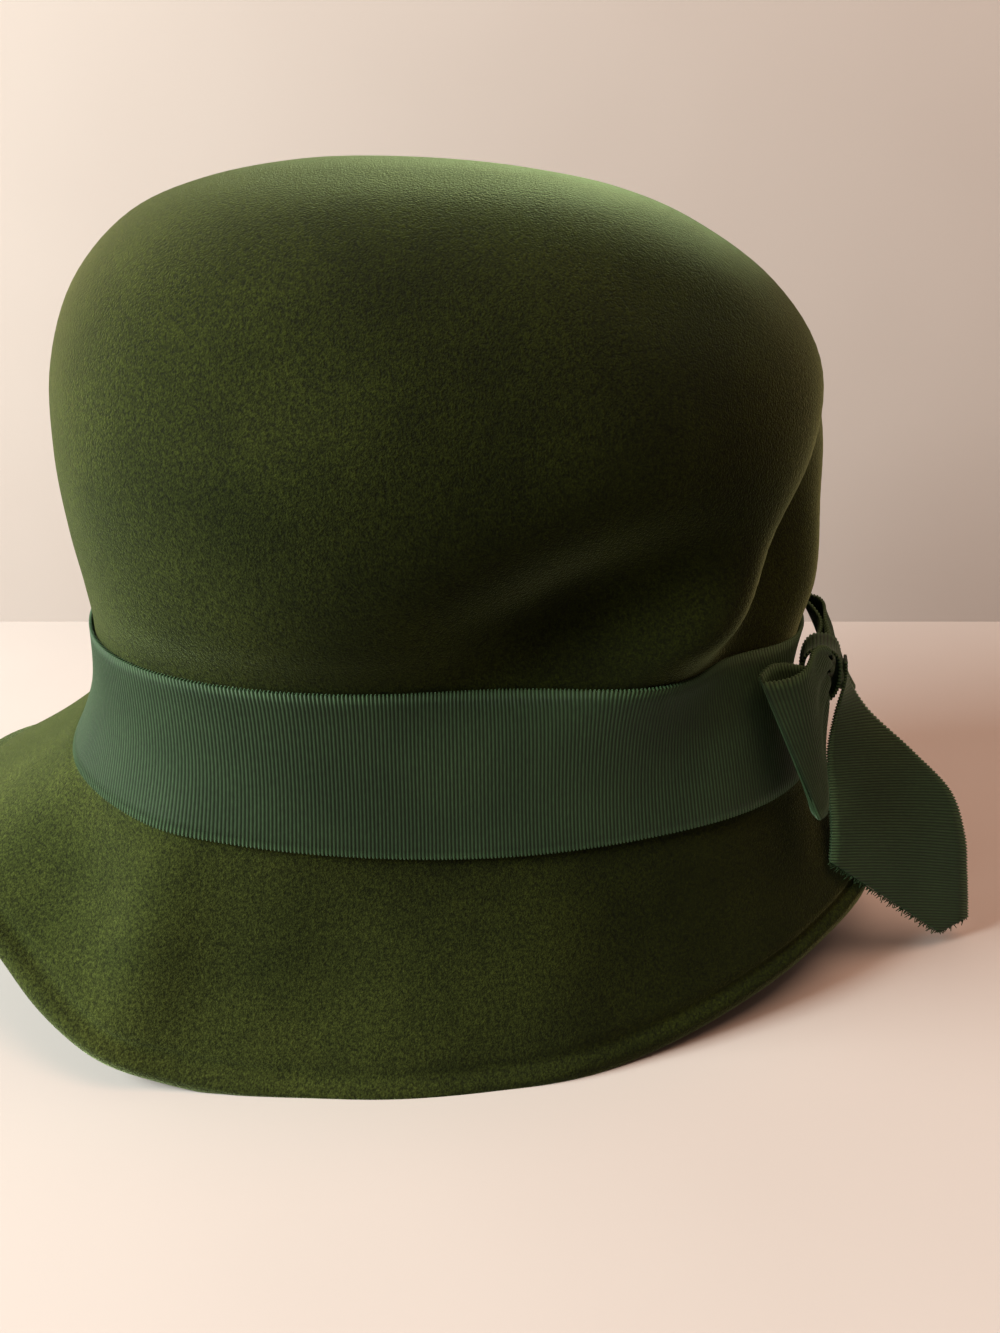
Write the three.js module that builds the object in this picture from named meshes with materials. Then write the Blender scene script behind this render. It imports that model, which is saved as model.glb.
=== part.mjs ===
// Cloche hat in velour felt with a grosgrain ribbon band and bow.
// Millimetres, +Z up. The front of the hat faces -Y, the bow sits at the back (+Y),
// a little round to the wearer's left (+X). Z = 0 is the surface the brim rests on.
import * as THREE from 'three';

// ---- driving sizes -------------------------------------------------------
const FELT_WALL = 2.3;         // velour felt thickness
const RIM_WALL = 3.4;          // rolled brim edge
const RIBBON_WALL = 1.0;
const GAP = 0.35;              // air between neighbouring pieces
const TOP_LEVEL = 216.8;       // middle of the crown tip
const TURNS = facetTurns(120, 184, 16, 48);   // close facets round the pinch
const KNOT = { x: 43.9, y: 101, z: 86 };
const KNOT_TURN = 156.5;       // where the knot sits, degrees round from the front
const REST_SINK = 0.9;         // how far the soft rim presses flat on the table

// Rows down the crown: height, reach to front and back of the middle, half width,
// squareness of the oval, saddle (front and back raised) and tilt (back lowered).
const CROWN = [
  { level: 216.3, front: 14, back: 12, half: 12, square: 2.0, saddle: 0, tilt: 0.05 },
  { level: 214.8, front: 35, back: 29, half: 28, square: 2.0, saddle: 0, tilt: 0.04 },
  { level: 210.6, front: 58, back: 48, half: 47, square: 2.1, saddle: 0, tilt: 0.02 },
  { level: 203.0, front: 76.5, back: 66, half: 64, square: 2.2, saddle: 0, tilt: 0.01 },
  { level: 189.0, front: 90.5, back: 86, half: 77, square: 2.35, saddle: 0, tilt: 0 },
  { level: 170.0, front: 98, back: 102.5, half: 86, square: 2.4, saddle: 0, tilt: 0 },
  { level: 150.0, front: 99.5, back: 107, half: 90, square: 2.5, saddle: 0, tilt: 0 },
  { level: 130.0, front: 98.5, back: 106, half: 88, square: 2.6, saddle: 1, tilt: 0.01 },
  { level: 114.0, front: 96, back: 105, half: 83, square: 2.9, saddle: 1.5, tilt: 0.03 },
  { level: 101.0, front: 95, back: 103, half: 76.5, square: 3.2, saddle: 2.5, tilt: 0.035 },
  { level: 80.0, front: 97, back: 103.5, half: 75.5, square: 3.2, saddle: 4.5, tilt: 0.045 },
  { level: 61.5, front: 104.5, back: 107, half: 77, square: 3.2, saddle: 5.5, tilt: 0.04 },
];
const BAND_ROWS = [10, 11, 12];  // rows counted from the tip, tip = 0

// Brim edge: degrees round from the front, distance out from the middle, height.
const RIM = [
  { turn: 0, reach: 150, level: 45 },
  { turn: 20, reach: 146, level: 41 },
  { turn: 33, reach: 134.5, level: 21 },
  { turn: 47, reach: 118, level: 5 },
  { turn: 62, reach: 106, level: 0.3 },
  { turn: 75, reach: 101, level: 0 },
  { turn: 90, reach: 98, level: 0 },
  { turn: 103, reach: 98, level: 0 },
  { turn: 115, reach: 101, level: 2 },
  { turn: 128, reach: 109, level: 9 },
  { turn: 142, reach: 120.5, level: 18 },
  { turn: 153, reach: 130, level: 26 },
  { turn: 166, reach: 132, level: 31 },
  { turn: 180, reach: 129, level: 33 },
];
const BRIM_STEPS = [0.14, 0.32, 0.52, 0.72, 0.88, 1.0];

// Dents pressed in (positive depth) and swells (negative): place, size, lean.
const DENTS = [
  { name: 'pinch above the bow', turn: 151, level: 128, wide: 9, tall: 34, depth: 15, lean: 0.36 },
  { name: 'lobe beside the pinch', turn: 131, level: 118, wide: 13, tall: 20, depth: -4, lean: 0.25 },
  { name: 'far lobe', turn: 180, level: 135, wide: 14, tall: 34, depth: -1, lean: 0 },
  { name: 'side hollow', turn: 104, level: 121, wide: 19, tall: 15, depth: 5.5, lean: 0.55 },
  { name: 'side swell', turn: 122, level: 112, wide: 9, tall: 14, depth: -2, lean: 0.5 },
  { name: 'seat of the knot', turn: 157, level: 86, wide: 13, tall: 20, depth: 5, lean: 0 },
  { name: 'brim fold', turn: 44, level: 30, wide: 8, tall: 26, depth: -3, lean: 0 },
  { name: 'brim valley', turn: 27, level: 42, wide: 9, tall: 22, depth: 4, lean: 0 },
];

// ---- felt surface --------------------------------------------------------
function facetTurns(from, to, fine, coarse) {
  const near = Array.from({ length: fine }, (_, k) => from + (to - from) * k / fine);
  const far = Array.from({ length: coarse }, (_, k) => to + (360 - to + from) * k / coarse);
  return [...near, ...far];
}

const rad = (deg) => deg * Math.PI / 180;
const fold180 = (deg) => ((deg + 180) % 360 + 360) % 360 - 180;

function ovalReach(row, turn) {
  const side = Math.abs(Math.sin(rad(turn)));
  const fore = Math.cos(rad(turn));
  const length = fore > 0 ? row.front : row.back;
  const a = (side / row.half) ** row.square;
  const b = (Math.abs(fore) / length) ** row.square;
  return (a + b) ** (-1 / row.square);
}

function smoothBetween(p0, p1, p2, p3, t) {
  const a = 2 * p1;
  const b = p2 - p0;
  const c = 2 * p0 - 5 * p1 + 4 * p2 - p3;
  const d = 3 * p1 - p0 - 3 * p2 + p3;
  return 0.5 * (a + b * t + c * t * t + d * t * t * t);
}

// value of one column of the rim table at any turn, the same on both sides
function rimValue(column, turn) {
  const at = Math.abs(fold180(turn));
  let k = 0;
  while (k < RIM.length - 2 && RIM[k + 1].turn < at) k += 1;
  const a = RIM[k];
  const b = RIM[k + 1];
  const before = RIM[Math.max(k - 1, 0)];
  const after = RIM[Math.min(k + 2, RIM.length - 1)];
  const span = b.turn - a.turn;
  const t = (at - a.turn) / span;
  const slopeA = (b[column] - before[column]) / Math.max(b.turn - before.turn, 1) * span;
  const slopeB = (after[column] - a[column]) / Math.max(after.turn - a.turn, 1) * span;
  const m0 = k === 0 ? 0 : slopeA;
  const m1 = k === RIM.length - 2 ? 0 : slopeB;
  const t2 = t * t;
  const t3 = t2 * t;
  return (2 * t3 - 3 * t2 + 1) * a[column] + (t3 - 2 * t2 + t) * m0
    + (3 * t2 - 2 * t3) * b[column] + (t3 - t2) * m1;
}

// reach and height of every row at one turn, tip first, rim last
function profile(turn) {
  const points = [{ r: 0, z: TOP_LEVEL }];
  for (const row of CROWN) {
    const r = ovalReach(row, turn);
    const back = -r * Math.cos(rad(turn));
    const z = row.level + row.saddle * Math.cos(rad(2 * turn)) - row.tilt * back;
    points.push({ r, z });
  }
  const root = points[points.length - 1];
  const edge = { r: rimValue('reach', turn), z: rimValue('level', turn) };
  for (const w of BRIM_STEPS) {
    const out = 0.75 * w + 0.25 * w * w;
    const down = 1.12 * w - 0.12 * w * w;
    points.push({ r: root.r + (edge.r - root.r) * out, z: root.z + (edge.z - root.z) * down });
  }
  return points;
}

const LAST_ROW = CROWN.length + BRIM_STEPS.length;

function feltPoint(turn, row) {
  const rows = profile(turn);
  const i = Math.min(Math.floor(row), LAST_ROW - 1);
  const t = row - i;
  const p0 = rows[Math.max(i - 1, 0)];
  const p1 = rows[i];
  const p2 = rows[i + 1];
  const p3 = rows[Math.min(i + 2, LAST_ROW)];
  let r = smoothBetween(p0.r, p1.r, p2.r, p3.r, t);
  const z = smoothBetween(p0.z, p1.z, p2.z, p3.z, t);
  const calm = Math.min(r / 40, 1);
  for (const d of DENTS) {
    const across = fold180(turn - d.turn - d.lean * (z - d.level)) / d.wide;
    const along = (z - d.level) / d.tall;
    r -= d.depth * calm * Math.exp(-across * across - along * along);
  }
  return new THREE.Vector3(r * Math.sin(rad(turn)), -r * Math.cos(rad(turn)), z);
}

function feltNormal(turn, row) {
  if (row < 0.02) return new THREE.Vector3(0, 0, 1);
  const round = feltPoint(turn + 0.5, row).sub(feltPoint(turn - 0.5, row));
  const down = feltPoint(turn, Math.min(row + 0.05, LAST_ROW));
  down.sub(feltPoint(turn, row - 0.05));
  return down.cross(round).normalize();
}

// ---- solids from sheets --------------------------------------------------
// A sheet is a grid of paired points, outer[j][i] and inner[j][i]; j runs along it.
function sheetSolid(outer, inner, closedRound) {
  const rows = outer.length;
  const cols = outer[0].length;
  const positions = [];
  const put = (p) => positions.push(p.x, p.y, p.z);
  outer.forEach((line) => line.forEach(put));
  inner.forEach((line) => line.forEach(put));
  const o = (j, i) => j * cols + (i % cols);
  const n = (j, i) => rows * cols + j * cols + (i % cols);
  const faces = [];
  const quad = (a, b, c, d) => faces.push(a, b, c, a, c, d);
  const spans = closedRound ? cols : cols - 1;
  for (let j = 0; j < rows - 1; j += 1) {
    for (let i = 0; i < spans; i += 1) {
      quad(o(j, i), o(j + 1, i), o(j + 1, i + 1), o(j, i + 1));
      quad(n(j, i), n(j, i + 1), n(j + 1, i + 1), n(j + 1, i));
    }
  }
  for (let i = 0; i < spans; i += 1) {
    quad(o(0, i + 1), n(0, i + 1), n(0, i), o(0, i));
    quad(o(rows - 1, i), n(rows - 1, i), n(rows - 1, i + 1), o(rows - 1, i + 1));
  }
  if (!closedRound) {
    const last = cols - 1;
    for (let j = 0; j < rows - 1; j += 1) {
      quad(o(j, 0), n(j, 0), n(j + 1, 0), o(j + 1, 0));
      quad(o(j + 1, last), n(j + 1, last), n(j, last), o(j, last));
    }
  }
  return solid(positions, faces);
}

function solid(positions, faces) {
  const geometry = new THREE.BufferGeometry();
  geometry.setAttribute('position', new THREE.Float32BufferAttribute(positions, 3));
  geometry.setIndex(volume(positions, faces) < 0 ? flip(faces) : faces);
  geometry.computeVertexNormals();
  return geometry;
}

function volume(p, faces) {
  let total = 0;
  for (let k = 0; k < faces.length; k += 3) {
    const [a, b, c] = [faces[k] * 3, faces[k + 1] * 3, faces[k + 2] * 3];
    total += p[a] * (p[b + 1] * p[c + 2] - p[b + 2] * p[c + 1]);
    total -= p[a + 1] * (p[b] * p[c + 2] - p[b + 2] * p[c]);
    total += p[a + 2] * (p[b] * p[c + 1] - p[b + 1] * p[c]);
  }
  return total;
}

function flip(faces) {
  const turned = [];
  for (let k = 0; k < faces.length; k += 3) turned.push(faces[k], faces[k + 2], faces[k + 1]);
  return turned;
}

// paired points from a middle surface, half the wall to each side
function thicken(point, us, vs, wall) {
  const step = 0.004;
  const outer = [];
  const inner = [];
  for (const v of vs) {
    const a = [];
    const b = [];
    for (const u of us) {
      const du = point(u + step, v).sub(point(u - step, v));
      const dv = point(u, v + step).sub(point(u, v - step));
      const normal = du.cross(dv).normalize().multiplyScalar(wall / 2);
      a.push(point(u, v).add(normal));
      b.push(point(u, v).sub(normal));
    }
    outer.push(a);
    inner.push(b);
  }
  return [outer, inner];
}

const steps = (count) => Array.from({ length: count + 1 }, (_, k) => k / count);

// ---- felt body -----------------------------------------------------------
function feltRows() {
  const list = [];
  for (let row = 1; row <= LAST_ROW; row += 1) {
    if (row > 2 && row <= 9) list.push(row - 0.5);
    list.push(row);
  }
  return list;
}

function feltWall(row) {
  const roll = Math.min(Math.max((row - LAST_ROW + 1.2) / 0.9, 0), 1);
  return FELT_WALL + (RIM_WALL - FELT_WALL) * roll;
}

function rest(point) {
  return new THREE.Vector3(point.x, point.y, Math.max(point.z - REST_SINK, 0));
}

function feltBody() {
  const rows = feltRows();
  const positions = [0, 0, TOP_LEVEL - REST_SINK, 0, 0, TOP_LEVEL - REST_SINK - FELT_WALL];
  const faces = [];
  const rings = [];
  const addRing = (makePoint) => {
    rings.push(positions.length / 3);
    for (const turn of TURNS) {
      const p = rest(makePoint(turn));
      positions.push(p.x, p.y, p.z);
    }
  };
  for (const row of rows) addRing((turn) => feltPoint(turn, row));
  addRing((turn) => feltPoint(turn, LAST_ROW)
    .addScaledVector(feltNormal(turn, LAST_ROW), -RIM_WALL / 2)
    .addScaledVector(outward(turn), 0.8));
  for (const row of [...rows].reverse()) {
    addRing((turn) => feltPoint(turn, row).addScaledVector(feltNormal(turn, row), -feltWall(row)));
  }
  const ringAt = (k, i) => rings[k] + (i % TURNS.length);
  const last = rings.length - 1;
  for (let i = 0; i < TURNS.length; i += 1) {
    faces.push(0, ringAt(0, i), ringAt(0, i + 1));
    faces.push(1, ringAt(last, i + 1), ringAt(last, i));
    for (let k = 0; k < last; k += 1) {
      faces.push(ringAt(k, i), ringAt(k + 1, i), ringAt(k + 1, i + 1));
      faces.push(ringAt(k, i), ringAt(k + 1, i + 1), ringAt(k, i + 1));
    }
  }
  return solid(positions, faces);
}

// the way the brim runs out at its edge
function outward(turn) {
  const run = feltPoint(turn, LAST_ROW).sub(feltPoint(turn, LAST_ROW - 0.1));
  return run.normalize();
}

// ---- ribbon band ---------------------------------------------------------
function hatBand() {
  const outer = [];
  const inner = [];
  for (const row of BAND_ROWS) {
    const a = [];
    const b = [];
    for (const turn of TURNS) {
      const way = feltNormal(turn, row);
      b.push(rest(feltPoint(turn, row).addScaledVector(way, GAP)));
      a.push(rest(feltPoint(turn, row).addScaledVector(way, GAP + RIBBON_WALL)));
    }
    outer.push(a);
    inner.push(b);
  }
  return sheetSolid(outer, inner, true);
}

// ---- bow -----------------------------------------------------------------
// Bow pieces are laid out from the knot: out from the hat, along the band toward
// the wearer's left side, and up.
const OUT = new THREE.Vector3(Math.sin(rad(KNOT_TURN)), -Math.cos(rad(KNOT_TURN)), 0);
const ALONG = new THREE.Vector3(OUT.y, -OUT.x, 0);

function fromKnot(out, along, up) {
  return new THREE.Vector3(KNOT.x, KNOT.y, KNOT.z - REST_SINK)
    .addScaledVector(OUT, out)
    .addScaledVector(ALONG, along)
    .add(new THREE.Vector3(0, 0, up));
}

// A loop leaves the knot, runs to its folded end and comes back. Upper and lower
// selvedge are given at the root and at the folded end, from the knot.
const NEAR_LOOP = {
  side: 1,
  top: { rootOut: 0, rootUp: 6, endOut: -16, endAlong: 33, endUp: 8.6, open: 3.8, arch: 5 },
  foot: { rootOut: 0, rootUp: -4.2, endOut: 3, endAlong: 30, endUp: -29.5, open: 2.8, arch: 1 },
};
const FAR_LOOP = {
  side: -1,
  top: { rootOut: 0, rootUp: 6, endOut: -6.9, endAlong: 29, endUp: 13.6, open: 3.4, arch: 3 },
  foot: { rootOut: 0, rootUp: -4.2, endOut: 11.6, endAlong: 30, endUp: -14.5, open: 2.4, arch: 1 },
};
const ROOT_ALONG = 1.2;

function loopEdge(edge, side, u) {
  const sweep = Math.PI * (2 * u - 1);
  const along01 = 0.5 + 0.5 * Math.cos(sweep);
  const swell = Math.sin(sweep) * (0.35 + 0.65 * along01);
  const reach = Math.sin(along01 * Math.PI / 2);
  const along = ROOT_ALONG + (edge.endAlong - ROOT_ALONG) * along01;
  const clear = Math.max(0, (along01 - 0.2) / 0.8);
  const rise = clear * clear * (3 - 2 * clear);
  const up = edge.rootUp + (edge.endUp - edge.rootUp) * Math.min(1, rise * 1.1);
  const arch = edge.arch * Math.sin(clear * Math.PI);
  const lead = edge.rootOut + (edge.endOut - edge.rootOut) * clear + arch;
  const out = lead + swell * edge.open * reach;
  const root = Math.sign(u - 0.5) * 0.9 * (1 - reach);
  return fromKnot(out + root, side * along, up);
}

function loopPoint(loop, u, v) {
  const top = loopEdge(loop.top, loop.side, u);
  const foot = loopEdge(loop.foot, loop.side, u);
  return foot.lerp(top, v);
}

function bowLoop(loop) {
  const us = steps(28).map((u) => 0.012 + 0.976 * u);
  const [outer, inner] = thicken((u, v) => loopPoint(loop, u, v), us, steps(3), RIBBON_WALL);
  return sheetSolid(outer, inner, false);
}

const KNOT_RING = { lift: 1.2, halfOut: 4.4, halfUp: 7.2, halfAlong: 6.0, square: 2.6 };

function knotPoint(u, v) {
  const sweep = 2 * Math.PI * u;
  const c = Math.cos(sweep);
  const s = Math.sin(sweep);
  const p = KNOT_RING.square;
  const r = (Math.abs(c) ** p + Math.abs(s) ** p) ** (-1 / p);
  const flare = (2 * v - 1) ** 2;
  const swell = 1 + 0.12 * (flare - 0.5);
  return fromKnot(
    KNOT_RING.halfOut * r * c * swell,
    KNOT_RING.halfAlong * (2 * v - 1),
    KNOT_RING.lift + KNOT_RING.halfUp * r * s * swell,
  );
}

function bowKnot() {
  const us = steps(24).slice(0, 24);
  const [outer, inner] = thicken(knotPoint, us, steps(4), RIBBON_WALL);
  return sheetSolid(outer, inner, true);
}

// Tail rows down from the knot: both selvedges, out / along / up.
const TAIL = [
  { lOut: 5.7, lAlong: 3.4, lUp: 8.2, rOut: 5.7, rAlong: -4.2, rUp: 8.2 },
  { lOut: 6.1, lAlong: 4.4, lUp: 0, rOut: 6.9, rAlong: -4.6, rUp: -2 },
  { lOut: 4.4, lAlong: 6.4, lUp: -9, rOut: 14.4, rAlong: -4.4, rUp: -12 },
  { lOut: 5.4, lAlong: 9.5, lUp: -20, rOut: 28.0, rAlong: -4.8, rUp: -23.5 },
  { lOut: 6.9, lAlong: 13.0, lUp: -31, rOut: 40.0, rAlong: -6.6, rUp: -35.5 },
  { lOut: 7.9, lAlong: 16.4, lUp: -41, rOut: 46.4, rAlong: -7.4, rUp: -54 },
  { lOut: 8.4, lAlong: 19.0, lUp: -49, rOut: 51.6, rAlong: -8.0, rUp: -77.5 },
];
const TAIL_TIP = { across: 0.8, drop: 9 };

function tailValue(column, k) {
  const last = TAIL.length - 1;
  const i = Math.min(Math.max(Math.floor(k), 0), last - 1);
  const at = (n) => TAIL[Math.min(Math.max(n, 0), last)][column];
  return smoothBetween(at(i - 1), at(i), at(i + 1), at(i + 2), k - i);
}

function tailPoint(u, v) {
  const k = v * (TAIL.length - 1);
  const left = fromKnot(tailValue('lOut', k), tailValue('lAlong', k), tailValue('lUp', k));
  const right = fromKnot(tailValue('rOut', k), tailValue('rAlong', k), tailValue('rUp', k));
  const point = left.lerp(right, u);
  const below = u < TAIL_TIP.across ? u / TAIL_TIP.across : (1 - u) / (1 - TAIL_TIP.across);
  point.z -= TAIL_TIP.drop * below * v ** 4;
  return point;
}

function bowTail() {
  const us = [0, 0.2, 0.4, 0.6, 0.8, 1];
  const [outer, inner] = thicken(tailPoint, us, steps(14), RIBBON_WALL);
  return sheetSolid(outer, inner, false);
}

// ---- assembly ------------------------------------------------------------
const FELT = { color: 0x46521f, roughness: 0.95, metalness: 0 };
const RIBBON = { color: 0x35493a, roughness: 0.7, metalness: 0 };

const group = new THREE.Group();
group.name = 'cloche_hat';

function add(name, geometry, look) {
  const mesh = new THREE.Mesh(geometry, new THREE.MeshStandardMaterial(look));
  mesh.name = name;
  group.add(mesh);
}

add('felt_body', feltBody(), FELT);
add('hat_band', hatBand(), RIBBON);
add('bow_near_loop', bowLoop(NEAR_LOOP), RIBBON);
add('bow_far_loop', bowLoop(FAR_LOOP), RIBBON);
add('bow_knot', bowKnot(), RIBBON);
add('bow_tail', bowTail(), RIBBON);

export default group;
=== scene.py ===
import math

import bmesh
import bpy
import numpy as np
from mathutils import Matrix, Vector


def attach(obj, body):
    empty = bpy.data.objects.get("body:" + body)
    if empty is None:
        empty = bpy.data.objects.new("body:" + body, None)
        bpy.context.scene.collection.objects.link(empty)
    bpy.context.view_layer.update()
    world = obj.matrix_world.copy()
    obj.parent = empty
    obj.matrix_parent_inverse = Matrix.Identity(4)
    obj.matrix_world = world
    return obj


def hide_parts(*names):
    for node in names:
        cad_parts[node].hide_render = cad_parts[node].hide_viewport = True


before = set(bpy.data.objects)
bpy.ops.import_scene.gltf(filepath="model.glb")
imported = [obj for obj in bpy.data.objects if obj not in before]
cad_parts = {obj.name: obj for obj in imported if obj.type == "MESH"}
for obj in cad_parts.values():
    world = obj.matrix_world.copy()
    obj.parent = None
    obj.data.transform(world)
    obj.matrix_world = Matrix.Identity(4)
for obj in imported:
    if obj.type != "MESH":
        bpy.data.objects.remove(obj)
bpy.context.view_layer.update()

# sizes are in mm and degrees, and become metres as each mesh is made
MM = 0.001

# ---- felt body: the form of the CAD, with deeper dents and a rim that lifts -----
TOP_LEVEL = 216.8
REST_SINK = 0.9
FELT_WALL = 2.3
RIM_WALL = 3.4

# height, front reach, back reach, half width, squareness, saddle, tilt
CROWN = [
    (216.3, 14, 12, 12, 2.0, 0, 0.05),
    (214.8, 35, 29, 28, 2.0, 0, 0.04),
    (210.6, 58, 48, 47, 2.1, 0, 0.02),
    (203.0, 76.5, 66, 64, 2.2, 0, 0.01),
    (189.0, 90.5, 86, 77, 2.35, 0, 0),
    (170.0, 98, 102.5, 86, 2.4, 0, 0),
    (150.0, 99.5, 107, 90, 2.5, 0, 0),
    (130.0, 98.5, 106, 88, 2.6, 1, 0.01),
    (114.0, 96, 105, 83, 2.9, 1.5, 0.03),
    (101.0, 95, 103, 76.5, 3.2, 2.5, 0.035),
    (80.0, 97, 103.5, 75.5, 3.2, 4.5, 0.045),
    (61.5, 104.5, 107, 77, 3.2, 5.5, 0.04),
]
# degrees round from the front, reach, height
RIM = [
    (0, 150, 45),
    (20, 146, 41),
    (33, 134.5, 21),
    (47, 118, 5),
    (62, 106, 0.3),
    (75, 101, 0),
    (90, 98.5, 0.4),
    (103, 100, 2),
    (115, 102.5, 4),
    (128, 109, 9),
    (142, 120.5, 18),
    (153, 130, 26),
    (166, 132, 31),
    (180, 129, 33),
]
BRIM_STEPS = (0.14, 0.32, 0.52, 0.72, 0.88, 1.0)
LAST_ROW = len(CROWN) + len(BRIM_STEPS)
# degrees round, height, width, tallness, depth, lean
DENTS = [
    (147.5, 128, 10, 34, 18, 0.35),  # pinch above the bow
    (129, 118, 13, 20, -4, 0.25),  # lobe beside the pinch
    (180, 135, 14, 34, -1, 0),  # far lobe
    (108, 120, 20, 18, 14, 0.6),  # hollow in the side
    (123, 112, 9, 15, -3.2, 0.5),  # swell below it
    (62, 168, 13, 12, 1.3, 0.3),  # faint dint towards the front
    (118, 186, 12, 9, 1.2, -0.4),  # faint crease under the tip
    (-62, 150, 16, 16, 1.6, 0.3),  # soft dint on the far side
    (-112, 124, 17, 16, 3, -0.4),  # shallow hollow on the far side
    (157, 86, 13, 20, 5, 0),  # seat of the knot
    (43, 32, 5, 26, -4.5, 0),  # fold in the brim
    (29, 40, 8, 22, 5, 0),  # valley in front of it
    (66, 28, 12, 22, 1.2, 0),  # easy wave beside it
    (100, 30, 15, 22, -1, 0),  # easy wave over the side
]


def fold180(deg):
    return (deg + 180) % 360 - 180


def soft_between(p0, p1, p2, p3, t):
    """A smooth way from p1 to p2, heading from p0 and on to p3."""
    return 0.5 * (
        2 * p1
        + (p2 - p0) * t
        + (2 * p0 - 5 * p1 + 4 * p2 - p3) * t * t
        + (3 * p1 - p0 - 3 * p2 + p3) * t**3
    )


def rim_value(column, turn):
    """One column of the rim table at any turn, the same on both sides."""
    at = np.abs(fold180(turn))
    turns = np.array([r[0] for r in RIM], float)
    vals = np.array([r[column] for r in RIM], float)
    slopes = np.zeros(len(RIM))
    slopes[1:-1] = (vals[2:] - vals[:-2]) / (turns[2:] - turns[:-2])
    k = np.clip(np.searchsorted(turns, at, side="right") - 1, 0, len(RIM) - 2)
    span = turns[k + 1] - turns[k]
    t = (at - turns[k]) / span
    h = 3 * t**2 - 2 * t**3
    a = (1 - h) * vals[k] + h * vals[k + 1]
    b = (t**3 - 2 * t**2 + t) * slopes[k] + (t**3 - t**2) * slopes[k + 1]
    return a + b * span


def profile(turn):
    """Reach and height of every row at each turn, tip first, rim last."""
    side = np.abs(np.sin(np.radians(turn)))
    fore = np.cos(np.radians(turn))
    reach = [np.zeros_like(turn)]
    level = [np.full_like(turn, TOP_LEVEL)]
    for height, front, back, half, square, saddle, tilt in CROWN:
        length = np.where(fore > 0, front, back)
        r = ((side / half) ** square + (np.abs(fore) / length) ** square) ** (-1 / square)
        reach.append(r)
        level.append(height + saddle * np.cos(np.radians(2 * turn)) + tilt * r * fore)
    root_r, root_z = reach[-1], level[-1]
    rim_r, rim_z = rim_value(1, turn), rim_value(2, turn)
    for w in BRIM_STEPS:
        reach.append(root_r + (rim_r - root_r) * (0.75 * w + 0.25 * w * w))
        level.append(root_z + (rim_z - root_z) * (1.12 * w - 0.12 * w * w))
    return np.array(reach), np.array(level)


def felt_point(turn, row):
    """Points of the felt's outer face, in mm; turn and row are arrays."""
    turn, row = np.broadcast_arrays(np.asarray(turn, float), np.asarray(row, float))
    shape = turn.shape
    turn, row = turn.ravel(), np.clip(row.ravel(), 0, LAST_ROW)
    reach, level = profile(turn)
    i = np.minimum(np.floor(row).astype(int), LAST_ROW - 1)
    cols = np.arange(len(turn))
    near = [np.clip(i + d, 0, LAST_ROW) for d in (-1, 0, 1, 2)]
    t = row - i
    r = soft_between(*(reach[k, cols] for k in near), t)
    z = soft_between(*(level[k, cols] for k in near), t)
    calm = np.minimum(r / 40, 1)
    for at, height, wide, tall, depth, lean in DENTS:
        across = fold180(turn - at - lean * (z - height)) / wide
        along = (z - height) / tall
        r = r - depth * calm * np.exp(-(across**2) - along**2)
    a = np.radians(turn)
    return np.stack([r * np.sin(a), -r * np.cos(a), z], -1).reshape(shape + (3,))


def unit(v):
    return v / np.maximum(np.linalg.norm(v, axis=-1, keepdims=True), 1e-9)


def felt_normal(turn, row):
    """The way out of the felt at a point of its outer face."""
    row = np.clip(np.asarray(row, float), 0.06, LAST_ROW)
    around = felt_point(turn + 0.5, row) - felt_point(turn - 0.5, row)
    lower = np.minimum(row + 0.05, LAST_ROW)
    down = felt_point(turn, lower) - felt_point(turn, lower - 0.1)
    return unit(np.cross(down, around))


def rest(points):
    """The soft rim pressed flat where it lies on the table."""
    out = points.copy()
    out[..., 2] = np.maximum(out[..., 2] - REST_SINK, 0)
    return out


# ---- meshes ---------------------------------------------------------------
POLE_WELD = 2e-5


def grid_piece(name, across, along, place):
    """A grid made by bmesh, each vertex put in place by its two fractions.

    The two fractions are kept as the piece's own UV map. Poles and the seam
    are welded shut.
    """
    bm = bmesh.new()
    bmesh.ops.create_grid(bm, x_segments=across, y_segments=along, size=0.5)
    bm.verts.ensure_lookup_table()
    uv = np.array([(v.co.x + 0.5, v.co.y + 0.5) for v in bm.verts])
    points = place(uv[:, 0], uv[:, 1]) * MM
    layer = bm.loops.layers.uv.new("OFBake")
    for face in bm.faces:
        for loop in face.loops:
            loop[layer].uv = uv[loop.vert.index]
    for vert, point in zip(bm.verts, points):
        vert.co = point
    bmesh.ops.remove_doubles(bm, verts=bm.verts, dist=POLE_WELD)
    bmesh.ops.dissolve_degenerate(bm, dist=1e-7, edges=bm.edges)
    bmesh.ops.recalc_face_normals(bm, faces=bm.faces)
    return finish_piece(name, bm)


def finish_piece(name, bm):
    mesh = bpy.data.meshes.new(name)
    for face in bm.faces:
        face.smooth = True
    bm.to_mesh(mesh)
    bm.free()
    piece = bpy.data.objects.new(name, mesh)
    bpy.context.scene.collection.objects.link(piece)
    return piece


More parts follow.
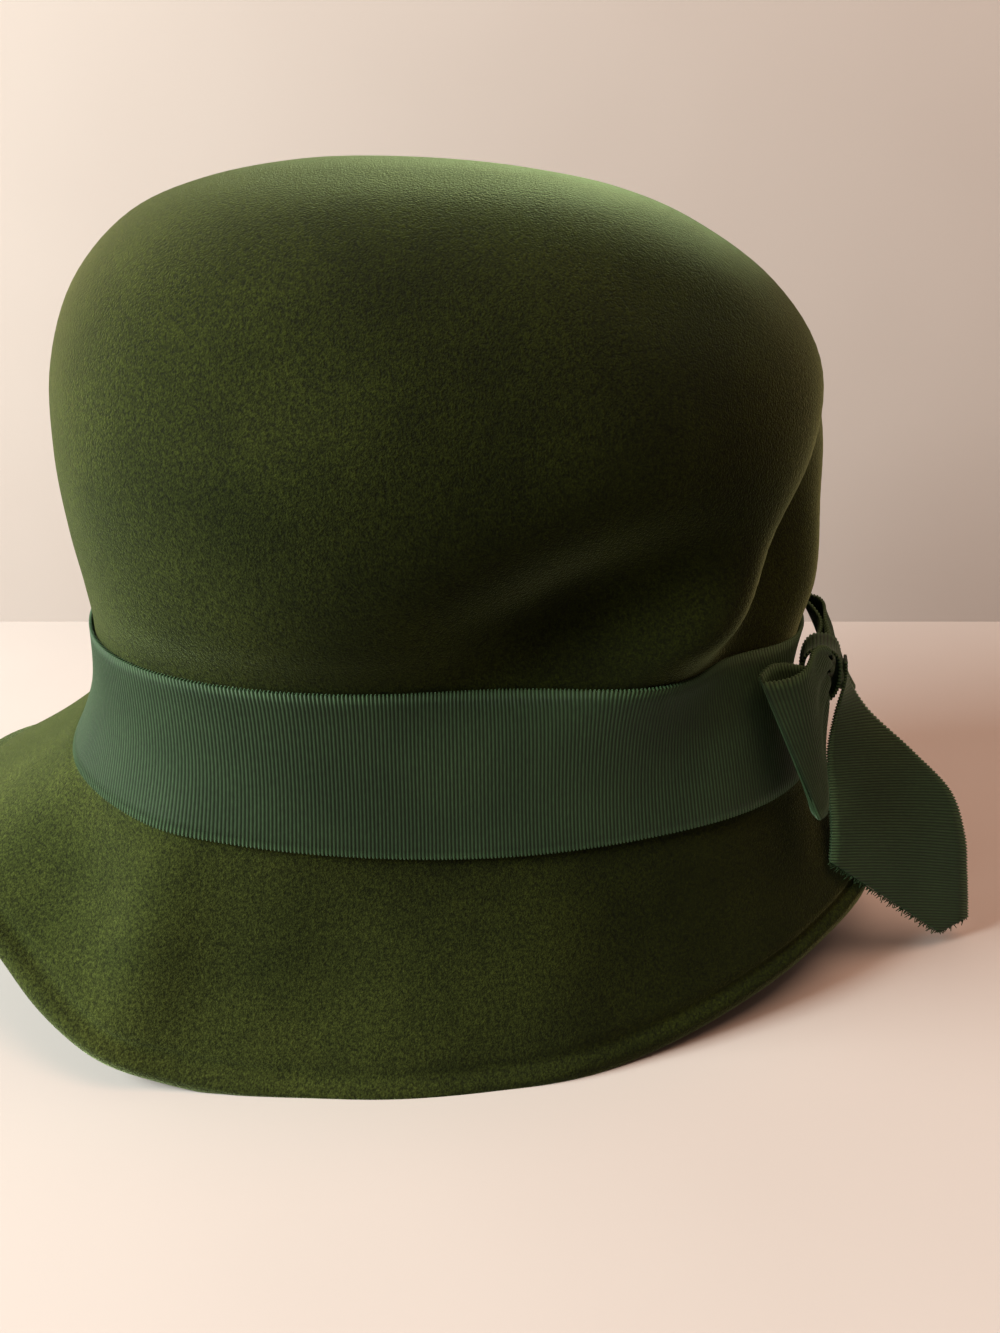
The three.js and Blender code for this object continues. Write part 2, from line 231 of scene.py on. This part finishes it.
# ---- materials ------------------------------------------------------------
class Nodes:
    """Short names for adding and wiring shader nodes."""

    def __init__(self, name):
        self.material = bpy.data.materials.new(name)
        self.material.use_nodes = True
        self.tree = self.material.node_tree
        self.shader = self.tree.nodes["Principled BSDF"]

    def add(self, kind, **values):
        node = self.tree.nodes.new(kind)
        for key, value in values.items():
            if key in node.inputs:
                node.inputs[key].default_value = value
            else:
                setattr(node, key, value)
        return node

    def join(self, source, target):
        self.tree.links.new(source, target)

    def noise(self, where, scale, detail=4.0, rough=0.6):
        node = self.add("ShaderNodeTexNoise")
        node.inputs["Scale"].default_value = scale
        node.inputs["Detail"].default_value = detail
        node.inputs["Roughness"].default_value = rough
        self.join(where, node.inputs["Vector"])
        return node.outputs["Fac"]

    def spread(self, value, low, high, to_low=0.0, to_high=1.0):
        node = self.add("ShaderNodeMapRange")
        for key, v in zip(("From Min", "From Max", "To Min", "To Max"), (low, high, to_low, to_high)):
            node.inputs[key].default_value = v
        self.join(value, node.inputs["Value"])
        return node.outputs["Result"]

    def mix(self, factor, a, b):
        node = self.add("ShaderNodeMix", data_type="RGBA")
        for slot, value in ((0, factor), (6, a), (7, b)):
            if isinstance(value, (tuple, float)):
                node.inputs[slot].default_value = value
            else:
                self.join(value, node.inputs[slot])
        return node.outputs[2]

    def greys(self, factor, low, high):
        return self.mix(factor, (low, low, low, 1), (high, high, high, 1))

    def times(self, a, b, strength=1.0):
        """One colour multiplied by another."""
        node = self.add("ShaderNodeMix", data_type="RGBA", blend_type="MULTIPLY")
        node.inputs[0].default_value = strength
        self.join(a, node.inputs[6])
        self.join(b, node.inputs[7])
        return node.outputs[2]

    def work(self, operation, a, by=None):
        node = self.add("ShaderNodeMath", operation=operation)
        self.join(a, node.inputs[0])
        if by is not None:
            node.inputs[1].default_value = by
        return node.outputs[0]

    def axes(self, where):
        node = self.add("ShaderNodeSeparateXYZ")
        self.join(where, node.inputs[0])
        return node.outputs

    def raise_by(self, height, strength, distance):
        """Fine relief in the surface."""
        node = self.add("ShaderNodeBump", Strength=strength, Distance=distance)
        self.join(height, node.inputs["Height"])
        self.join(node.outputs["Normal"], self.shader.inputs["Normal"])

    def sum(self, a, b, weight):
        """a, with b added at a weight."""
        node = self.add("ShaderNodeMath", operation="MULTIPLY_ADD")
        self.join(b, node.inputs[0])
        node.inputs[1].default_value = weight
        self.join(a, node.inputs[2])
        return node.outputs[0]


# the felt's own tones, then paler tones that are painted window light
FELT_DEEP = ((0.0042, 0.0056, 0.0008, 1), (0.0078, 0.0104, 0.0015, 1))
FELT_WINDOW_LIT = ((0.0165, 0.0222, 0.0048, 1), (0.026, 0.033, 0.0074, 1))


def velour_felt():
    """Deep moss velour: a short brushed nap in patches, with painted window light making it paler towards
    the front and low down.
    """
    n = Nodes("velour_felt")
    where = n.add("ShaderNodeTexCoord").outputs["Object"]
    patches = n.spread(n.noise(where, 26.0, 3.0), 0.36, 0.66)
    clumps = n.spread(n.noise(where, 1150.0, 3.0), 0.34, 0.68)
    grain = n.spread(n.noise(where, 2300.0, 2.0), 0.3, 0.7)
    place = n.axes(where)
    back_and_up = n.sum(place["Y"], place["Z"], 0.35)
    # painted window light: the felt is paler towards the front and low down, where the window lamp falls
    window_light = n.spread(back_and_up, 0.05, -0.11)
    tone = n.mix(window_light, n.mix(patches, *FELT_DEEP), n.mix(patches, *FELT_WINDOW_LIT))
    tone = n.times(tone, n.mix(clumps, (0.5, 0.5, 0.5, 1), (1.65, 1.65, 1.6, 1)))
    tone = n.times(tone, n.greys(grain, 0.6, 1.4), 0.85)
    n.join(tone, n.shader.inputs["Base Color"])
    n.join(n.spread(clumps, 0, 1, 0.85, 1.0), n.shader.inputs["Roughness"])
    n.shader.inputs["Sheen Weight"].default_value = 0.5
    n.shader.inputs["Sheen Roughness"].default_value = 0.32
    n.shader.inputs["Sheen Tint"].default_value = (0.5, 0.63, 0.3, 1)
    n.shader.inputs["Specular IOR Level"].default_value = 0.05
    n.raise_by(n.sum(grain, clumps, 0.8), 0.6, 0.00012)
    return n.material


RIB_PITCH = 0.92
RIBBON_TONES = ((0.0098, 0.0225, 0.0085, 1), (0.0135, 0.029, 0.0112, 1))
SELVEDGE_TONES = ((1, 1, 1, 1), (1.7, 1.65, 1.7, 1))
YARNS_ACROSS = 46.0


def grosgrain(name, rib_count):
    """Ribbed ribbon: cords across it, with painted shade between them and painted light on their crests,
    paler selvedges.
    """
    n = Nodes(name)
    uv = n.add("ShaderNodeUVMap", uv_map="OFBake").outputs["UV"]
    where = n.add("ShaderNodeTexCoord").outputs["Object"]
    along = n.axes(uv)
    cord = n.work("ABSOLUTE", n.work("SINE", n.work("MULTIPLY", along["X"], rib_count * math.pi)))
    edge = n.work("ABSOLUTE", n.work("COSINE", n.work("MULTIPLY", along["Y"], 2 * math.pi)))
    warp = n.add("ShaderNodeMapping", vector_type="POINT")
    warp.inputs["Scale"].default_value = (rib_count, YARNS_ACROSS, 1.0)
    n.join(uv, warp.inputs["Vector"])
    yarn = n.spread(n.noise(warp.outputs[0], 1.0, 2.0), 0.3, 0.7)
    shade = n.spread(n.noise(where, 34.0, 2.0), 0.35, 0.65)
    tone = n.mix(shade, *RIBBON_TONES)
    tone = n.times(tone, n.greys(yarn, 0.8, 1.2))
    # painted shade in the valleys between the ribs and painted light on their crests
    tone = n.times(tone, n.greys(cord, 0.3, 1.35))
    tone = n.times(tone, n.mix(n.spread(edge, 0.985, 0.997), *SELVEDGE_TONES))
    n.join(tone, n.shader.inputs["Base Color"])
    n.join(n.spread(yarn, 0, 1, 0.56, 0.72), n.shader.inputs["Roughness"])
    n.shader.inputs["Sheen Weight"].default_value = 0.16
    n.shader.inputs["Sheen Roughness"].default_value = 0.35
    n.shader.inputs["Sheen Tint"].default_value = (0.42, 0.66, 0.42, 1)
    n.shader.inputs["Specular IOR Level"].default_value = 0.16
    n.raise_by(n.sum(cord, yarn, 0.35), 0.4, 0.0002)
    return n.material


def loose_yarn():
    """The ribbon's own yarn, unravelled, a little paler and duller."""
    n = Nodes("loose_yarn")
    where = n.add("ShaderNodeTexCoord").outputs["Object"]
    twist = n.spread(n.noise(where, 1600.0, 2.0), 0.35, 0.65)
    n.join(n.mix(twist, (0.011, 0.026, 0.01, 1), (0.026, 0.052, 0.022, 1)), n.shader.inputs["Base Color"])
    n.shader.inputs["Roughness"].default_value = 0.8
    n.shader.inputs["Specular IOR Level"].default_value = 0.12
    return n.material


# ---- felt body ------------------------------------------------------------
FELT_ACROSS = 300
FELT_ALONG = 240
FACE_SHARE = 0.49
# how far inside the rim in rows, how wide in rows, how high in mm
RIM_BEAD = (0.3, 0.3, 0.7)
RIM_GROOVE = (0.85, 0.2, -0.9)
RIM_ROLL = (1.2, 0.9)


def rim_relief(inside_rim, at, wide, high):
    return high * np.exp(-(((inside_rim - at) / wide) ** 2))


def felt_section(turn, along):
    """Round the felt's section: outer face from tip to rim, then back inside."""
    outer = np.clip(along / FACE_SHARE, 0, 1)
    inner = np.clip((1 - along) / FACE_SHARE, 0, 1)
    rolled = np.clip((along - FACE_SHARE) / (1 - 2 * FACE_SHARE), 0, 1)
    outside = along <= FACE_SHARE
    inside = along >= 1 - FACE_SHARE
    row = np.where(outside, outer, np.where(inside, inner, 1.0)) * LAST_ROW
    face = felt_point(turn, row)
    way = felt_normal(turn, row)
    inside_rim = LAST_ROW - row
    thicken = np.clip((RIM_ROLL[0] - inside_rim) / RIM_ROLL[1], 0, 1)
    wall = (FELT_WALL + (RIM_WALL - FELT_WALL) * thicken)[:, None]
    relief = rim_relief(inside_rim, *RIM_BEAD) + rim_relief(inside_rim, *RIM_GROOVE)
    inner_face = face - way * wall
    face = face + way * relief[:, None]
    edge = felt_point(turn, np.full_like(turn, LAST_ROW))
    run = unit(edge - felt_point(turn, np.full_like(turn, LAST_ROW - 0.1)))
    swing = rolled[:, None] * math.pi
    bead = edge - way * RIM_WALL / 2
    bead = bead + way * RIM_WALL / 2 * np.cos(swing) + run * RIM_WALL / 2 * np.sin(swing)
    out = np.where(outside[:, None], face, np.where(inside[:, None], inner_face, bead))
    tip = (row < 0.01)[:, None]
    pole = np.array([0, 0, TOP_LEVEL]) - np.array([0, 0, FELT_WALL]) * inside[:, None]
    return rest(np.where(tip, pole, out))


def felt_body():
    def place(u, v):
        return felt_section(u * 360.0, v)

    return grid_piece("felt_body_soft", FELT_ACROSS, FELT_ALONG, place)


# ---- ribbon ---------------------------------------------------------------
RIBBON_WALL = 0.9
GAP = 0.35
RIB_RISE = 0.13
RIBBON_SEAT = 0.5
PICOT = 0.6
LINE_STEPS = 1500
COLUMNS_PER_RIB = 3
SLOPE_ALONG = 0.003
SLOPE_ACROSS = 0.02
RIBBON_WELD = 2e-6


def even_lengths(line, count):
    """Fractions along a line of points that are evenly spaced in length."""
    at = np.concatenate([[0], np.cumsum(np.linalg.norm(np.diff(line, axis=0), axis=1))])
    return np.interp(np.linspace(0, at[-1], count), at, np.linspace(0, 1, len(line))), at[-1]


def ribbon_piece(name, middle, rows, closed):
    """A ribbon with real ribs: middle(u, w) gives its middle surface in mm."""
    fine = np.linspace(0, 1, LINE_STEPS)
    even, length = even_lengths(middle(fine, np.full_like(fine, 0.5)), LINE_STEPS)
    ribs = int(round(length / RIB_PITCH))

    def place(a, b):
        u = np.interp(a, fine, even)
        front = b <= 0.5
        w = np.clip(np.where(front, b, 1 - b) * 2, 0, 1)
        lo_u = u - SLOPE_ALONG
        hi_u = u + SLOPE_ALONG
        if not closed:
            lo_u, hi_u = np.maximum(lo_u, 0), np.minimum(hi_u, 1)
        lo_w = np.maximum(w - SLOPE_ACROSS, 0)
        hi_w = np.minimum(w + SLOPE_ACROSS, 1)
        du = middle(hi_u, w) - middle(lo_u, w)
        dw = middle(u, hi_w) - middle(u, lo_w)
        way = unit(np.cross(du, dw))
        cord = np.abs(np.sin(a * ribs * math.pi)) ** 0.8
        lift = RIBBON_WALL / 2 - RIB_RISE + RIB_RISE * cord
        side = np.where(front, 1.0, -1.0)
        off_middle = ((w - 0.5) / 0.5) ** 2
        at_selvedge = np.exp(-((off_middle - 1) ** 2) / 0.002) * np.sign(w - 0.5)
        yarn_loop = at_selvedge * PICOT * cord
        return middle(u, w) + way * (side * lift)[:, None] + unit(dw) * yarn_loop[:, None]

    piece = loft_ribbon(name, ribs * COLUMNS_PER_RIB, rows, place, closed)
    return piece, ribs, length


def loft_ribbon(name, columns, rows, place, closed):
    """Front and back faces of a ribbon as one grid that closes round its width."""
    lines = rows * 2 + 2
    bm = bmesh.new()
    bmesh.ops.create_grid(bm, x_segments=columns, y_segments=lines, size=0.5)
    bm.verts.ensure_lookup_table()
    run = np.array([v.co.x + 0.5 for v in bm.verts])
    line = np.rint([(v.co.y + 0.5) * lines for v in bm.verts]).astype(int)
    front = line / rows * 0.5
    back = np.clip(1 - (lines - 1 - line) / rows * 0.5, 0.500001, 1)
    width = np.where(line <= rows, front, back)
    points = place(run, np.where(line == lines, 0, width)) * MM
    layer = bm.loops.layers.uv.new("OFBake")
    for face in bm.faces:
        for loop in face.loops:
            k = loop.vert.index
            loop[layer].uv = (run[k], width[k])
    for vert, point in zip(bm.verts, points):
        vert.co = point
    bmesh.ops.remove_doubles(bm, verts=bm.verts, dist=RIBBON_WELD)
    if not closed:
        bmesh.ops.holes_fill(bm, edges=[e for e in bm.edges if e.is_boundary], sides=0)
    bmesh.ops.recalc_face_normals(bm, faces=bm.faces)
    return finish_piece(name, bm)


BAND_FOOT_ROW = 12
BAND_ROWS = 2


def band_middle(u, w):
    """Round the foot of the crown, a small gap outside the felt."""
    turn = np.asarray(u, float) * 360.0
    row = BAND_FOOT_ROW - BAND_ROWS * np.asarray(w, float)
    face = felt_point(turn, row) + felt_normal(turn, row) * (GAP + RIBBON_SEAT)
    face[..., 2] -= REST_SINK
    return face


# ---- bow ------------------------------------------------------------------
KNOT = np.array([43.9, 101.0, 86.0 - REST_SINK])
KNOT_TURN = math.radians(156.5)
OUT = np.array([math.sin(KNOT_TURN), -math.cos(KNOT_TURN), 0.0])
ALONG = np.array([OUT[1], -OUT[0], 0.0])
UP = np.array([0.0, 0.0, 1.0])
ROOT_ALONG = 1.2
ROOT_APART = 0.9
KNOT_SHARE = 0.2
MOUTH_AT = 0.84
MOUTH_SPAN = 0.62
ROLL_AT = 0.78
ROLL_SPAN = 0.2
GATHERS = 3
ROOT_TRIM = 0.012


def from_knot(out, along, up):
    """A point given from the middle of the knot: out of the hat, along, up."""
    out, along, up = (np.asarray(x, float)[..., None] for x in (out, along, up))
    return KNOT + OUT * out + ALONG * along + UP * up


# each edge: root up, end out, end along, end up, mouth, arch outwards, crest
NEAR_LOOP = {
    "side": 1,
    "pleat": 1.3,
    "top": (6, -15.2, 33, 8.6, 4.6, 3.5, 6.5),
    "foot": (-4.2, 3, 30, -29.5, 2.8, 1, 0),
}
FAR_LOOP = {
    "side": -1,
    "pleat": 2.1,
    "top": (6, -6.9, 29, 13.6, 3.4, 3, 1),
    "foot": (-4.2, 11.6, 30, -14.5, 2.4, 1, 0),
}


def loop_run(u):
    """How far out along the loop: 0 at the knot, 1 at its end."""
    return 0.5 + 0.5 * np.cos(math.pi * (2 * u - 1))


def loop_edge(edge, side, u):
    """One selvedge of a loop, from the knot out to its end and back."""
    root_up, end_out, end_along, end_up, mouth, arch, crest = edge
    run = loop_run(u)
    layer = np.sign(u - 0.5)
    outer = (1 + layer) / 2
    reach = np.sin(run * math.pi / 2)
    clear = np.maximum(0, (run - KNOT_SHARE) / (1 - KNOT_SHARE))
    rise = np.minimum(1, clear * clear * (3 - 2 * clear) * 1.1)
    opening = 0.5 + 0.5 * np.cos(2 * math.pi * (run - MOUTH_AT) / MOUTH_SPAN)
    swell = np.sin(math.pi * (2 * u - 1)) * (0.75 * opening + 0.25 * run)
    out = end_out * clear + arch * np.sin(clear * math.pi) + swell * mouth * reach
    out = out + layer * ROOT_APART * (1 - reach)
    along = ROOT_ALONG + (end_along - ROOT_ALONG) * run
    lip = np.exp(-(((run - ROLL_AT) / ROLL_SPAN) ** 2)) * (0.9 - 1.5 * outer)
    lift = crest * (np.sin(run * math.pi) ** 2 * outer + 0.42 * lip)
    return from_knot(out, side * along, root_up + (end_up - root_up) * rise + lift)


def loop_middle(loop):
    def middle(u, w):
        u = ROOT_TRIM + (1 - 2 * ROOT_TRIM) * np.asarray(u, float)
        w = np.asarray(w, float)
        top = loop_edge(loop["top"], loop["side"], u)
        foot = loop_edge(loop["foot"], loop["side"], u)
        gathered = 1 - np.sin(loop_run(u) * math.pi / 2)
        pleat = loop["pleat"] * np.sin(2 * GATHERS * math.pi * w) * gathered
        return foot + (top - foot) * w[..., None] + OUT * pleat[..., None]

    return middle


KNOT_HALF = {"out": 4.8, "along": 6.0, "up": 7.2}
KNOT_LIFT = 1.2
KNOT_SQUARE = 2.6
KNOT_FLARE = 0.12


def knot_middle(u, w):
    """The wrap round the roots of the loops, flared a little at its edges."""
    sweep = 2 * math.pi * np.asarray(u, float)
    c, s = np.cos(sweep), np.sin(sweep)
    r = (np.abs(c) ** KNOT_SQUARE + np.abs(s) ** KNOT_SQUARE) ** (-1 / KNOT_SQUARE)
    off = 2 * np.asarray(w, float) - 1
    flare = 1 + KNOT_FLARE * (off**2 - 0.5)
    out = KNOT_HALF["out"] * r * c * flare
    up = KNOT_LIFT + KNOT_HALF["up"] * r * s * flare
    return from_knot(out, KNOT_HALF["along"] * off, up)


# left selvedge out, along, up, then right selvedge out, along, up
TAIL = [
    (6.5, 3.2, 5.0, 6.5, -3.6, 4.4),
    (6.7, 5.6, 0, 7.5, -4.6, -2),
    (5.2, 8.6, -9, 14.4, -4.4, -12),
    (4.6, 10.4, -20, 28.0, -4.8, -23.5),
    (6.2, 13.0, -31, 40.0, -6.6, -35.5),
    (7.9, 16.4, -41, 46.0, -7.4, -49.5),
    (8.4, 19.0, -50, 48.4, -7.7, -61),
    (9.0, 21.5, -59, 50.2, -7.9, -71),
    (9.6, 24.0, -68, 51.8, -8.0, -81),
    (10.2, 26.5, -77, 53.4, -8.1, -91),
]
# left end, tip and right end of the cut: out, along, up
TAIL_CUT = [(8.4, 19.0, -49.0), (43.0, -2.6, -80.5), (51.6, -8.0, -77.5)]
TAIL_HOLLOW = 1.3


def tail_middle(u, w):
    """Down the tail from the knot, a little hollow across its width."""
    k = np.asarray(u, float) * (len(TAIL) - 1)
    table = np.array(TAIL, float)
    i = np.clip(np.floor(k).astype(int), 0, len(TAIL) - 2)
    near = [table[np.clip(i + d, 0, len(TAIL) - 1)] for d in (-1, 0, 1, 2)]
    row = soft_between(*near, (k - i)[..., None])
    left = from_knot(row[..., 0], row[..., 1], row[..., 2])
    right = from_knot(row[..., 3], row[..., 4], row[..., 5])
    w = np.asarray(w, float)
    point = left + (right - left) * w[..., None]
    below_knot = np.clip(k - 1.5, 0, 3) / 3
    return point - ALONG * (TAIL_HOLLOW * below_knot * np.sin(w * math.pi))[..., None]


def cut_lines():
    """The two lines of the tail's cut and the way that its surface faces."""
    left, tip, right = (from_knot(*p) * MM for p in TAIL_CUT)
    return ((left, tip), (tip, right)), unit(np.cross(right - left, tip - left))


def cut_way(start, end, facing):
    """Straight out of the ribbon, square to one line of the cut."""
    across = unit(np.cross(end - start, facing))
    return -across if across[2] > 0 else across


def slant_cut(piece):
    """Trim the tail's end along the two lines of its cut."""
    lines, facing = cut_lines()
    bm = bmesh.new()
    bm.from_mesh(piece.data)
    for start, end in lines:
        across = cut_way(start, end, facing)
        bmesh.ops.bisect_plane(bm, geom=bm.verts[:] + bm.edges[:] + bm.faces[:], plane_co=start,
                               plane_no=across, clear_outer=True)
        bmesh.ops.holes_fill(bm, edges=[e for e in bm.edges if e.is_boundary], sides=0)
    bmesh.ops.recalc_face_normals(bm, faces=bm.faces)
    bm.to_mesh(piece.data)
    bm.free()


ON_CUT = 2e-6
YARN_EVERY = RIB_PITCH / 2
YARN_REACH = 0.9
YARN_ROOT = 0.2
YARN_TIP = 0.1
YARN_CLEAR = 0.12
YARN_SHORTEST = 0.35


def frayed_yarns(tail):
    """Short loose yarns that stand out of the tail's cut, just clear of it."""
    lines, facing = cut_lines()
    bm = bmesh.new()
    points = np.array([v.co for v in tail.data.vertices])
    for start, end in lines:
        way = cut_way(start, end, facing)
        along = unit(end - start)
        on_cut = points[np.abs((points - start) @ way) < ON_CUT]
        at = (on_cut - start) @ along
        count = int(np.ptp(at) / (YARN_EVERY * MM))
        for k, place in enumerate(np.linspace(at.min(), at.max(), count + 2)[1:-1]):
            near = on_cut[np.abs(at - place) < YARN_REACH * MM]
            if len(near) == 0:
                continue
            root = near.mean(axis=0)
            root = root + along * (place - (root - start) @ along)
            length = max(1.0 + 0.7 * math.sin(k * 2.4) + 0.5 * math.sin(k * 5.7), YARN_SHORTEST) * MM
            lean = unit(way + along * 0.45 * math.sin(k * 1.9) + facing * 0.4 * math.sin(k * 3.3))
            turn = Vector(lean).to_track_quat("Z", "Y").to_matrix().to_4x4()
            turn.translation = Vector(root + way * YARN_CLEAR * MM + lean * length / 2)
            bmesh.ops.create_cone(bm, cap_ends=True, cap_tris=True, segments=6, depth=length,
                                  radius1=YARN_ROOT * MM, radius2=YARN_TIP * MM, matrix=turn)
    bmesh.ops.recalc_face_normals(bm, faces=bm.faces)
    return finish_piece("tail_frayed_yarns", bm)


# ---- dress the pieces -----------------------------------------------------
def dress(piece, material):
    piece.data.materials.append(material)
    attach(piece, "root")


def dress_ribbon(name, node, middle, rows, closed, cut=False):
    """Make a ribbon piece, cut and fray its end where asked, give it its grosgrain and hide the CAD part
    it stands for.
    """
    piece, ribs, length = ribbon_piece(name, middle, rows, closed)
    yarns = []
    if cut:
        slant_cut(piece)
        yarns.append(frayed_yarns(piece))
        dress(yarns[0], loose_yarn())
    dress(piece, grosgrain(name + "_grosgrain", ribs))
    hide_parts(node)


felt = felt_body()
dress(felt, velour_felt())
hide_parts("felt_body")
dress_ribbon("hat_band_ribbon", "hat_band", band_middle, 10, True)
dress_ribbon("near_loop_ribbon", "bow_near_loop", loop_middle(NEAR_LOOP), 20, False)
dress_ribbon("far_loop_ribbon", "bow_far_loop", loop_middle(FAR_LOOP), 20, False)
dress_ribbon("knot_ribbon", "bow_knot", knot_middle, 8, True)
dress_ribbon("tail_ribbon", "bow_tail", tail_middle, 14, False,
             True)


# ---- stage, light and camera ---------------------------------------------
VIEW_TURN = math.radians(82)
VIEW_AT = (0.2975, -0.02464, 0.1951)
AHEAD = Vector((-math.sin(VIEW_TURN), math.cos(VIEW_TURN), 0))
ASIDE = Vector((math.cos(VIEW_TURN), math.sin(VIEW_TURN), 0))
VIEW_DOWN = math.radians(22)
WALL_AWAY = 0.55
WALL_HALF = 1.1
WALL_HEIGHT = 1.5
TABLE_HALF = 1.6
TABLE_TONES = ((0.315, 0.29, 0.28, 1), (0.33, 0.305, 0.295, 1))
WALL_TONES = ((0.345, 0.3, 0.28, 1), (0.36, 0.315, 0.295, 1))


def stage_sheet(name, place, tones, one_sided):
    """A plain matt surface, softly mottled; one-sided is clear from behind."""
    bm = bmesh.new()
    bmesh.ops.create_grid(bm, x_segments=8, y_segments=8, size=1.0)
    for v in bm.verts:
        v.co = place(v.co.x, v.co.y)
    bmesh.ops.recalc_face_normals(bm, faces=bm.faces)
    sheet = finish_piece(name, bm)
    n = Nodes(name + "_paint")
    where = n.add("ShaderNodeTexCoord").outputs["Object"]
    mottle = n.spread(n.noise(where, 6.0, 2.0), 0.3, 0.7)
    n.join(n.mix(mottle, *tones), n.shader.inputs["Base Color"])
    n.shader.inputs["Roughness"].default_value = 0.9
    n.shader.inputs["Specular IOR Level"].default_value = 0.15
    if one_sided:
        behind = n.add("ShaderNodeNewGeometry").outputs["Backfacing"]
        clear = n.add("ShaderNodeBsdfTransparent")
        both = n.add("ShaderNodeMixShader")
        n.join(behind, both.inputs[0])
        n.join(n.shader.outputs[0], both.inputs[1])
        n.join(clear.outputs[0], both.inputs[2])
        n.join(both.outputs[0], n.tree.nodes["Material Output"].inputs["Surface"])
    sheet.data.materials.append(n.material)
    return sheet


def table_top():
    def place(x, y):
        return Vector((x * TABLE_HALF, y * TABLE_HALF, 0))

    return stage_sheet("stage_table", place, TABLE_TONES, False)


def pale_wall():
    """A wall behind the table that can be seen from its front only."""
    stand = Vector((VIEW_AT[0], VIEW_AT[1], 0)) + AHEAD * WALL_AWAY

    def place(x, y):
        return stand + ASIDE * (x * WALL_HALF) + Vector((0, 0, (y + 1) * WALL_HEIGHT / 2))

    wall = stage_sheet("stage_wall", place, WALL_TONES, True)
    if wall.data.polygons[0].normal.dot(AHEAD) > 0:
        wall.data.flip_normals()
    return wall


def soft_light(name, place, target, size, power, colour):
    data = bpy.data.lights.new(name, "AREA")
    data.shape = "RECTANGLE"
    data.size, data.size_y = size
    data.energy = power
    data.color = colour
    lamp = bpy.data.objects.new(name, data)
    lamp.location = place
    lamp.rotation_euler = (Vector(target) - Vector(place)).to_track_quat("-Z", "Y").to_euler()
    bpy.context.scene.collection.objects.link(lamp)


def view_camera():
    data = bpy.data.cameras.new("view")
    data.sensor_fit = "HORIZONTAL"
    data.sensor_width = 36.0
    data.lens = 37.44
    camera = bpy.data.objects.new("view", data)
    camera.location = VIEW_AT
    look = AHEAD * math.cos(VIEW_DOWN) - Vector((0, 0, math.sin(VIEW_DOWN)))
    camera.rotation_euler = look.to_track_quat("-Z", "Y").to_euler()
    bpy.context.scene.collection.objects.link(camera)
    bpy.context.scene.camera = camera


def soft_room():
    """A dim warm glow for light, and a paler tone where the room is seen."""
    world = bpy.data.worlds.new("soft_room")
    world.use_nodes = True
    room = world.node_tree
    glow = room.nodes["Background"]
    glow.inputs["Color"].default_value = (1.0, 0.62, 0.44, 1)
    glow.inputs["Strength"].default_value = 0.2
    pale = room.nodes.new("ShaderNodeBackground")
    pale.inputs["Color"].default_value = (0.82, 0.74, 0.67, 1)
    seen = room.nodes.new("ShaderNodeLightPath")
    choose = room.nodes.new("ShaderNodeMixShader")
    room.links.new(seen.outputs["Is Camera Ray"], choose.inputs[0])
    room.links.new(glow.outputs[0], choose.inputs[1])
    room.links.new(pale.outputs[0], choose.inputs[2])
    room.links.new(choose.outputs[0], room.nodes["World Output"].inputs["Surface"])
    bpy.context.scene.world = world


table_top()
pale_wall()
soft_light("window", (0.24, -1.2, 0.78), (0, 0, 0.1), (0.75, 0.65), 72, (0.92, 0.98, 0.92))
soft_light("ceiling_lamp", (0.1, 0.35, 1.35), (-0.15, 0.2, 0), (0.9, 0.9), 21, (1.0, 0.6, 0.42))
soft_room()
view_camera()
bpy.context.scene.view_settings.view_transform = "Standard"
